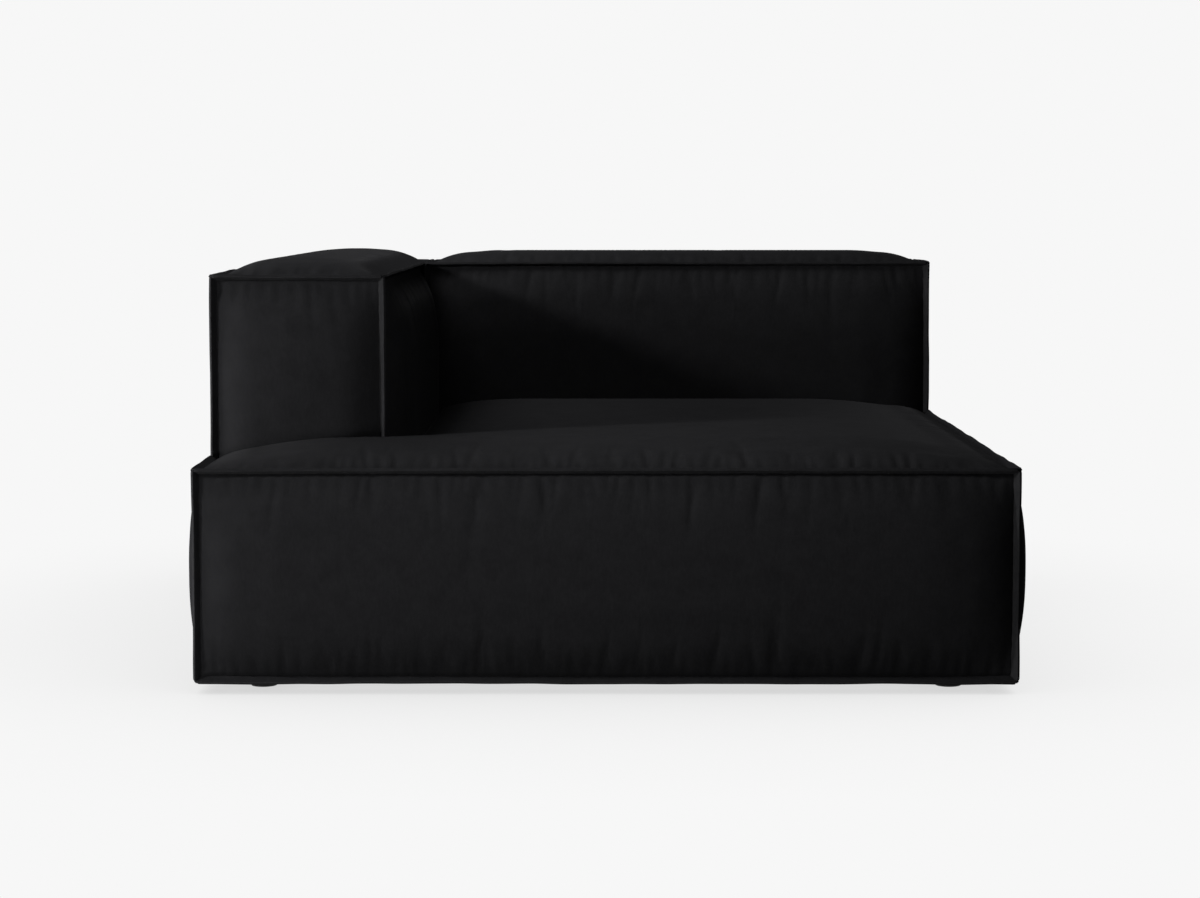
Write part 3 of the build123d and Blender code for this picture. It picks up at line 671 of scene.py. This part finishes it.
# A lighter copy of the velvet, painted light for flange faces turned left or down
VELVET_PAINTED_LIT = material(
    "velvet_painted_lit", (0.024, 0.024, 0.0252), 0.85,
    velvet_nodes((0.018, 0.018, 0.0189), (0.03, 0.03, 0.0315)),
)
SLOT_MATERIALS = {
    "velvet": VELVET,
    "padding": material(
        "padding", (0.8, 0.79, 0.76), 0.95,
        grain_nodes((0.76, 0.75, 0.72), (0.84, 0.83, 0.8), (1, 1, 1), 80.0),
    ),
    "foam": material(
        "foam", (0.8, 0.72, 0.5), 0.9,
        grain_nodes((0.76, 0.68, 0.45), (0.84, 0.76, 0.55), (1, 1, 1), 120.0),
    ),
    "webbing": material(
        "webbing", (0.04, 0.04, 0.04), 0.8,
        grain_nodes((0.03, 0.03, 0.03), (0.07, 0.07, 0.07), (1, 1, 1), 250.0),
    ),
    "dust_cloth": material(
        "dust_cloth", (0.02, 0.02, 0.02), 0.9,
        grain_nodes((0.015, 0.015, 0.015), (0.03, 0.03, 0.03), (1, 1, 1), 300.0),
    ),
    "timber": material(
        "timber", (0.55, 0.4, 0.25), 0.65,
        grain_nodes((0.5, 0.35, 0.2), (0.66, 0.5, 0.32), (4, 4, 40), 3.0),
    ),
    "plywood": material(
        "plywood", (0.6, 0.46, 0.3), 0.6,
        grain_nodes((0.55, 0.42, 0.27), (0.68, 0.54, 0.37), (30, 4, 30), 3.0),
    ),
    "fibreboard": material(
        "fibreboard", (0.4, 0.28, 0.18), 0.75,
        grain_nodes((0.36, 0.25, 0.16), (0.45, 0.32, 0.21), (1, 1, 1), 150.0),
    ),
    "foot_plastic": material(
        "foot_plastic", (0.012, 0.012, 0.012), 0.6,
        grain_nodes((0.010, 0.010, 0.010), (0.016, 0.016, 0.016), (1, 1, 1), 200.0, 0.1),
    ),
    "steel": material("steel", (0.6, 0.6, 0.6), 0.35, steel_nodes),
}
node_slots = {p["node"]: p["material_slot"] for p in frame["record"]["subparts"]}
for name, node in nodes.items():
    node.data.materials.clear()
    node.data.materials.append(SLOT_MATERIALS[node_slots[name]])


def dress(piece, unit, matches, *cloth):
    """Puts a piece on the one body in place of its CAD solids, in velvet."""
    for mat in cloth:
        piece.data.materials.append(mat)
    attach(piece, "root")
    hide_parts(*[n for n in nodes if n.startswith(unit) and matches(n)])
    return piece


def is_cover(name):
    soft = name.endswith("_padding") or name.endswith("_cover") or name.endswith("_foam_core")
    return soft and not name.endswith("_dust_cover")


def is_flange(name):
    return name.endswith("_flange")


arm_length = ARM_HIGH.y - ARM_LOW.y
arm_tall = ARM_HIGH.z - ARM_LOW.z
arm_inner_soft = (0, (SEAT_HIGH.y - ARM_LOW.y) / arm_length, (DECK - ARM_LOW.z) / arm_tall, 1)
back_front_soft = (0, 1, (DECK - BACK_LOW.z) / arm_tall, 1)

seat = puff(seat_skin(), "seat_upholstery", SEAT_LOW, SEAT_HIGH)
arm = puff(
    block(ARM_LOW, ARM_HIGH, ARM_OUT, ARM_UP, 30, inner=arm_inner_soft),
    "arm_upholstery", ARM_LOW, ARM_HIGH,
)
back = puff(
    block(BACK_LOW, BACK_HIGH, BACK_OUT, BACK_UP, 50, front=back_front_soft),
    "back_upholstery", BACK_LOW, BACK_HIGH,
)
scene.frame_set(1)
for piece, unit in ((seat, "seat_"), (arm, "arm_"), (back, "back_")):
    dress(piece, unit, is_cover, VELVET)

left_rear = Vector((SEAT_LOW.x, CORNER_REAR, SEAT_LOW.z))
seat_edges = ring_edges(SEAT_LOW, SEAT_HIGH, "l", -Y)
seat_edges += length_edges(SEAT_LOW, SEAT_HIGH, ("hh", "hl"))
for z, level in ((SEAT_HIGH.z, Z), (SEAT_LOW.z, -Z)):
    begin = Vector((SEAT_LOW.x, SEAT_LOW.y, z))
    finish = Vector((SEAT_LOW.x, CORNER_REAR, z))
    seat_edges.append((begin, finish, -X, level, 1.0, 1.0))
right_rear = Vector((SEAT_HIGH.x, SEAT_HIGH.y, SEAT_LOW.z))
tall = Z * (SEAT_HIGH.z - SEAT_LOW.z)
seat_edges.append((right_rear, right_rear + tall, X, Y, 1.0, 1.0))
seat_edges.append((left_rear, left_rear + tall, -X, Y, 1.0, 1.0))
arm_edges = ring_edges(ARM_LOW, ARM_HIGH, "l", -Y) + ring_edges(ARM_LOW, ARM_HIGH, "h", Y)
arm_edges += length_edges(ARM_LOW, ARM_HIGH, ("lh", "ll", "hh"))
back_edges = ring_edges(BACK_LOW, BACK_HIGH, "l", -Y) + ring_edges(BACK_LOW, BACK_HIGH, "h", Y)
back_edges += length_edges(BACK_LOW, BACK_HIGH, ("hh", "hl", "lh"))
for name, edges in (("seat_", seat_edges), ("arm_", arm_edges), ("back_", back_edges)):
    # The second velvet is the lighter painted-light copy for flange faces turned left or down
    dress(flange_piece(name + "flanges", edges), name, is_flange, VELVET, VELVET_PAINTED_LIT)

# Pale studio: its ground, and the reach, darkest share and full brightness of the floor's shadows
PALE = (0.93, 0.93, 0.93, 1.0)
FLOOR_SHADES = ((0.05, 0.82, 0.6), (0.8, 0.76, 1.0))
FLOOR_HALF = 15


def shown(tree):
    """The rays that see the studio as a plain pale ground: the camera's, and gloss or glass."""
    path = tree.nodes.new("ShaderNodeLightPath")
    socket = path.outputs["Is Camera Ray"]
    for kind in ("Is Glossy Ray", "Is Transmission Ray"):
        either = tree.nodes.new("ShaderNodeMath")
        either.operation = "MAXIMUM"
        tree.links.new(socket, either.inputs[0])
        tree.links.new(path.outputs[kind], either.inputs[1])
        socket = either.outputs["Value"]
    return socket


def floor_nodes(tree, shader):
    """A soft shadow round the object, and a tighter one at its feet."""
    shades = []
    for distance, dark, high in FLOOR_SHADES:
        shade = tree.nodes.new("ShaderNodeAmbientOcclusion")
        shade.inputs["Distance"].default_value = distance
        shade.samples = 8
        shades.append(spread(tree, shade.outputs["AO"], dark, 1.0, 0.0, high))
    both = tree.nodes.new("ShaderNodeMath")
    both.operation = "MULTIPLY"
    tree.links.new(shades[0], both.inputs[0])
    tree.links.new(shades[1], both.inputs[1])
    glow = tree.nodes.new("ShaderNodeEmission")
    glow.inputs["Color"].default_value = PALE
    tree.links.new(both.outputs["Value"], glow.inputs["Strength"])
    mix = tree.nodes.new("ShaderNodeMixShader")
    tree.links.new(shown(tree), mix.inputs[0])
    tree.links.new(shader.outputs["BSDF"], mix.inputs[1])
    tree.links.new(glow.outputs["Emission"], mix.inputs[2])
    tree.links.new(mix.outputs["Shader"], tree.nodes["Material Output"].inputs["Surface"])


floor_mesh = bpy.data.meshes.new("floor")
corners = ((-1, -1), (1, -1), (1, 1), (-1, 1))
floor_mesh.from_pydata(
    [(x * FLOOR_HALF, y * FLOOR_HALF, 0) for x, y in corners], [], [(0, 1, 2, 3)]
)
floor = bpy.data.objects.new("floor", floor_mesh)
scene.collection.objects.link(floor)
floor_mesh.materials.append(material("studio_floor", (0.3, 0.3, 0.3), 0.9, floor_nodes))

world = bpy.data.worlds.new("studio")
scene.world = world
world.use_nodes = True
sky = world.node_tree
sky.nodes["Background"].inputs["Color"].default_value = (0.01, 0.01, 0.01, 1.0)
plain = sky.nodes.new("ShaderNodeBackground")
plain.inputs["Color"].default_value = PALE
blend = sky.nodes.new("ShaderNodeMixShader")
sky.links.new(shown(sky), blend.inputs[0])
sky.links.new(sky.nodes["Background"].outputs["Background"], blend.inputs[1])
sky.links.new(plain.outputs["Background"], blend.inputs[2])
sky.links.new(blend.outputs["Shader"], sky.nodes["World Output"].inputs["Surface"])


def lamp(name, place, target, size, power):
    data = bpy.data.lights.new(name, "AREA")
    data.shape = "DISK"
    data.size = size
    data.energy = power
    light = bpy.data.objects.new(name, data)
    light.location = place
    light.rotation_euler = (Vector(target) - Vector(place)).to_track_quat("-Z", "Y").to_euler()
    scene.collection.objects.link(light)


# Lamps: name, place, target, size and power
LAMPS = (
    ("key", (-2.4, -1.6, 1.45), (0.0, -0.3, 0.35), 0.3, 45.0),
    ("front", (-1.5, -2.5, 0.12), (-0.1, -0.8, 0.2), 0.4, 20.0),
    ("near", (0.05, -1.3, 1.0), (0.1, -0.8, 0.3), 0.3, 2.3),
    ("top", (-1.0, -0.2, 2.8), (-0.1, 0.0, 0.4), 1.3, 17.0),
    ("high", (-1.2, 0.5, 2.0), (-0.3, 0.3, 0.4), 1.0, 24.0),
    ("left", (-3.4, 0.5, 0.45), (-0.66, 0.0, 0.35), 1.0, 30.0),
    ("side", (-2.2, -0.5, 0.35), (-0.66, 0.0, 0.35), 0.6, 24.0),
    ("rear", (-1.2, 4.0, 0.4), (0.0, 0.8, 0.4), 1.6, 50.0),
    ("right", (2.6, 3.8, 0.4), (0.66, 0.3, 0.3), 1.6, 50.0),
)
for settings in LAMPS:
    lamp(*settings)

# Camera with a long lens and a slight pitch, in front of the seat's flange
CAMERA_SIDE, CAMERA_BACK, CAMERA_HEIGHT = -0.0103, 4.507, 0.800
CAMERA_PITCH = 0.0875
lens = bpy.data.cameras.new("camera")
lens.lens = 83.5
lens.sensor_width = 36.0
camera = bpy.data.objects.new("camera", lens)
camera.location = (CAMERA_SIDE, SEAT_LOW.y - REACH - CAMERA_BACK, CAMERA_HEIGHT)
camera.rotation_euler = (math.radians(90.0) - CAMERA_PITCH, 0.0, 0.0)
scene.collection.objects.link(camera)
scene.camera = camera
scene.view_settings.view_transform = "Standard"
